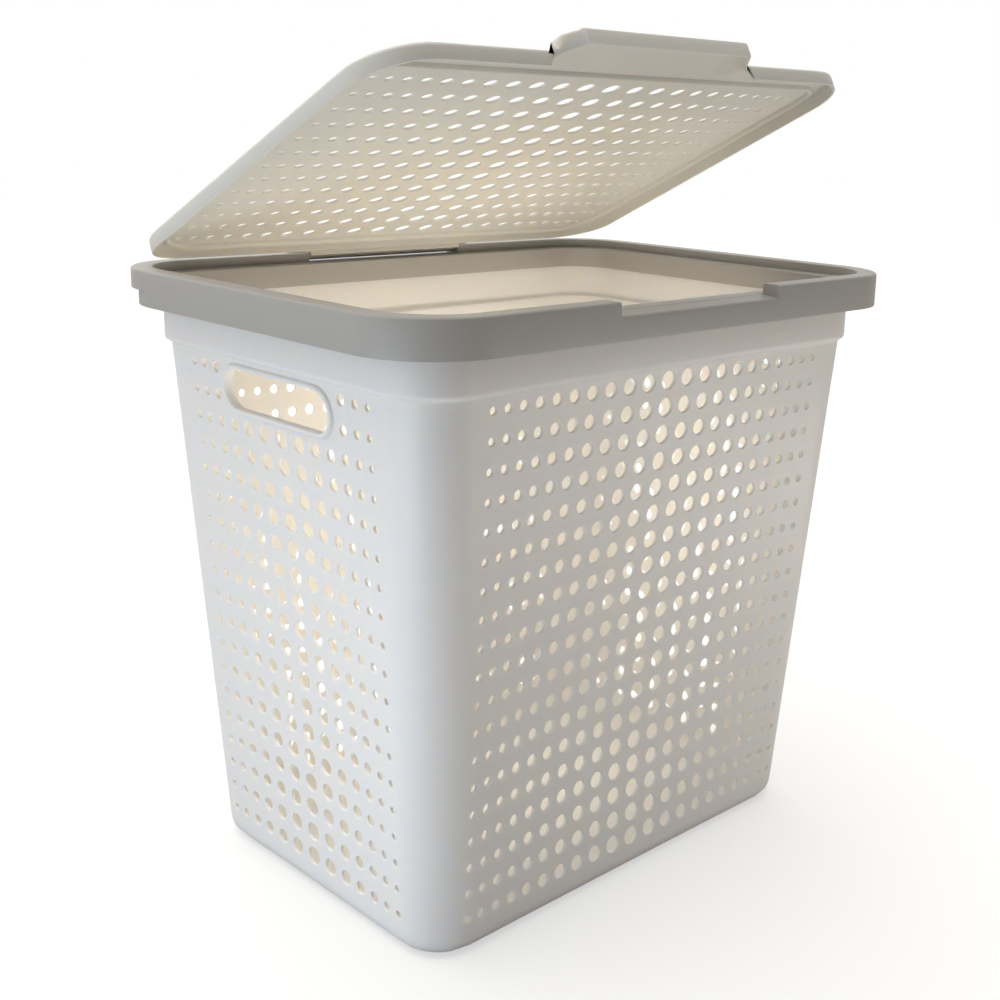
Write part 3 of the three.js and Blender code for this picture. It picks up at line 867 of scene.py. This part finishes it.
def buildFloor():
    half = studio["floorSize"] / 2
    mesh = bpy.data.meshes.new("studio_floor")
    z = -0.0005  # just under the basket's foot
    corners = [(-half, -half, z), (half, -half, z), (half, half, z), (-half, half, z)]
    mesh.from_pydata(corners, [], [(0, 1, 2, 3)])
    floor = bpy.data.objects.new("studio_floor", mesh)
    bpy.context.scene.collection.objects.link(floor)
    material = bpy.data.materials.new("paleFloor")
    material.use_nodes = True
    tree = material.node_tree
    shader = tree.nodes["Principled BSDF"]
    shader.inputs["Roughness"].default_value = 0.9
    shader.inputs["Specular IOR Level"].default_value = 0.1
    shader.inputs["Base Color"].default_value = (*studio["floorColour"], 1)
    # a little of the paper's own glow, for the lens only, so that it throws no more light upwards
    glow, join = tree.nodes.new("ShaderNodeEmission"), tree.nodes.new("ShaderNodeAddShader")
    path = tree.nodes.new("ShaderNodeLightPath")
    forLens = maths(tree, "MULTIPLY", path.outputs["Is Camera Ray"], studio["floorGlow"])
    tree.links.new(forLens, glow.inputs["Strength"])
    tree.links.new(shader.outputs[0], join.inputs[0])
    tree.links.new(glow.outputs[0], join.inputs[1])
    tree.links.new(join.outputs[0], tree.nodes["Material Output"].inputs["Surface"])
    mesh.materials.append(material)


def areaLight(name, place, target, size, watts, colour):
    data = bpy.data.lights.new(name, "AREA")
    data.shape = "RECTANGLE"
    data.size, data.size_y = size
    data.energy = watts
    data.color = colour
    light = bpy.data.objects.new(name, data)
    light.location = place
    light.rotation_euler = (Vector(target) - Vector(place)).to_track_quat("-Z", "Y").to_euler()
    light.visible_camera = False
    light.visible_glossy = name != "insideFill"
    bpy.context.scene.collection.objects.link(light)


def buildWorld():
    world = bpy.data.worlds.new("studio")
    bpy.context.scene.world = world
    world.use_nodes = True
    tree = world.node_tree
    tree.nodes.clear()
    path = tree.nodes.new("ShaderNodeLightPath")
    seen, glow = tree.nodes.new("ShaderNodeBackground"), tree.nodes.new("ShaderNodeBackground")
    seen.inputs["Color"].default_value = (1, 1, 1, 1)
    seen.inputs["Strength"].default_value = 1.0
    glow.inputs["Color"].default_value = (0.99, 0.985, 0.975, 1)
    # the white wall behind is bright and the room in front is dim
    split = tree.nodes.new("ShaderNodeSeparateXYZ")
    tree.links.new(tree.nodes.new("ShaderNodeTexCoord").outputs["Generated"], split.inputs[0])
    fade = tree.nodes.new("ShaderNodeMapRange")
    fade.inputs["From Min"].default_value = -1.0
    fade.inputs["To Min"].default_value = studio["roomFront"]
    fade.inputs["To Max"].default_value = studio["roomBack"]
    tree.links.new(split.outputs["Y"], fade.inputs["Value"])
    tree.links.new(fade.outputs[0], glow.inputs["Strength"])
    mix, out = tree.nodes.new("ShaderNodeMixShader"), tree.nodes.new("ShaderNodeOutputWorld")
    tree.links.new(path.outputs["Is Camera Ray"], mix.inputs[0])
    tree.links.new(glow.outputs[0], mix.inputs[1])
    tree.links.new(seen.outputs[0], mix.inputs[2])
    tree.links.new(mix.outputs[0], out.inputs[0])


def buildCamera():
    data = bpy.data.cameras.new("camera")
    data.lens, data.sensor_width = studio["lens"], 36.0
    data.shift_x, data.shift_y = studio["shift"]
    data.clip_start, data.clip_end = 0.05, 60
    camera = bpy.data.objects.new("camera", data)
    forward = Vector(studio["forward"]).normalized()
    right = (Vector(studio["right"]) - Vector(studio["right"]).dot(forward) * forward).normalized()
    up = right.cross(forward)
    camera.matrix_world = Matrix((
        (right.x, up.x, -forward.x, studio["cameraAt"][0]),
        (right.y, up.y, -forward.y, studio["cameraAt"][1]),
        (right.z, up.z, -forward.z, studio["cameraAt"][2]),
        (0, 0, 0, 1),
    ))
    bpy.context.scene.collection.objects.link(camera)
    bpy.context.scene.camera = camera


def overheadSun():
    data = bpy.data.lights.new("overhead", "SUN")
    data.energy = studio["sun"]
    data.angle = math.radians(studio["sunSpreadDeg"])
    data.color = studio["sunColour"]
    light = bpy.data.objects.new("overhead", data)
    tiltX, tiltY = studio["sunTiltDeg"]
    light.rotation_euler = (math.radians(tiltX), math.radians(tiltY), 0)
    light.location = (0, 0, 3)
    bpy.context.scene.collection.objects.link(light)


buildFloor()
buildWorld()
for lampName, lamp in studio["lamps"].items():
    areaLight(lampName, *lamp)
overheadSun()
buildCamera()
bpy.context.scene.view_settings.view_transform = "Standard"
print("studio ready")
